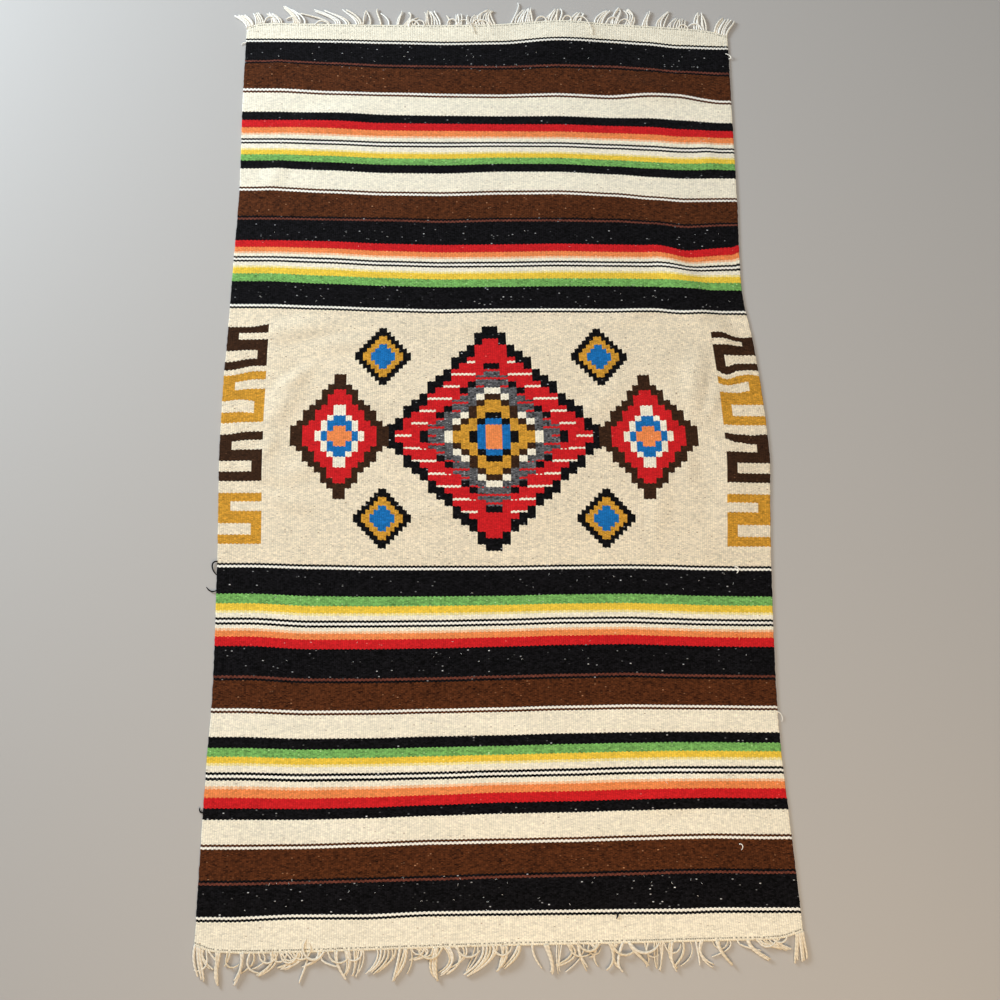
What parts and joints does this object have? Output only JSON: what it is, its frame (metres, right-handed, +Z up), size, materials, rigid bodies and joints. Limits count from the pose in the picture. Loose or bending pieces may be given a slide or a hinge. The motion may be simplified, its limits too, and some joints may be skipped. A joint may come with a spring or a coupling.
{
  "type": "mexican serape",
  "caption": "Striped tapestry-woven serape laid out flat, with a pale panel between mirrored stripe groups and loose warp fringe at both ends.",
  "frame": {"origin": "on the floor, under the middle of the bounding box", "axes": "+X across the cloth from the left selvedge to the right one, +Y along the warp to the far end, +Z up"},
  "size_m": [1.0242, 1.8068, 0.0119],
  "materials": {
    "woven_wool": "matte, weft-faced tapestry weave with a soft wool nap",
    "cotton_warp": "matte, loosely twisted cotton"
  },
  "bodies": {
    "root": {"web": "woven_wool", "fringe_far": "cotton_warp", "fringe_near": "cotton_warp", "tassel_far_left": "cotton_warp", "tassel_far_right": "cotton_warp", "tassel_near_left": "cotton_warp", "tassel_near_right": "cotton_warp"}
  },
  "joints": []
}
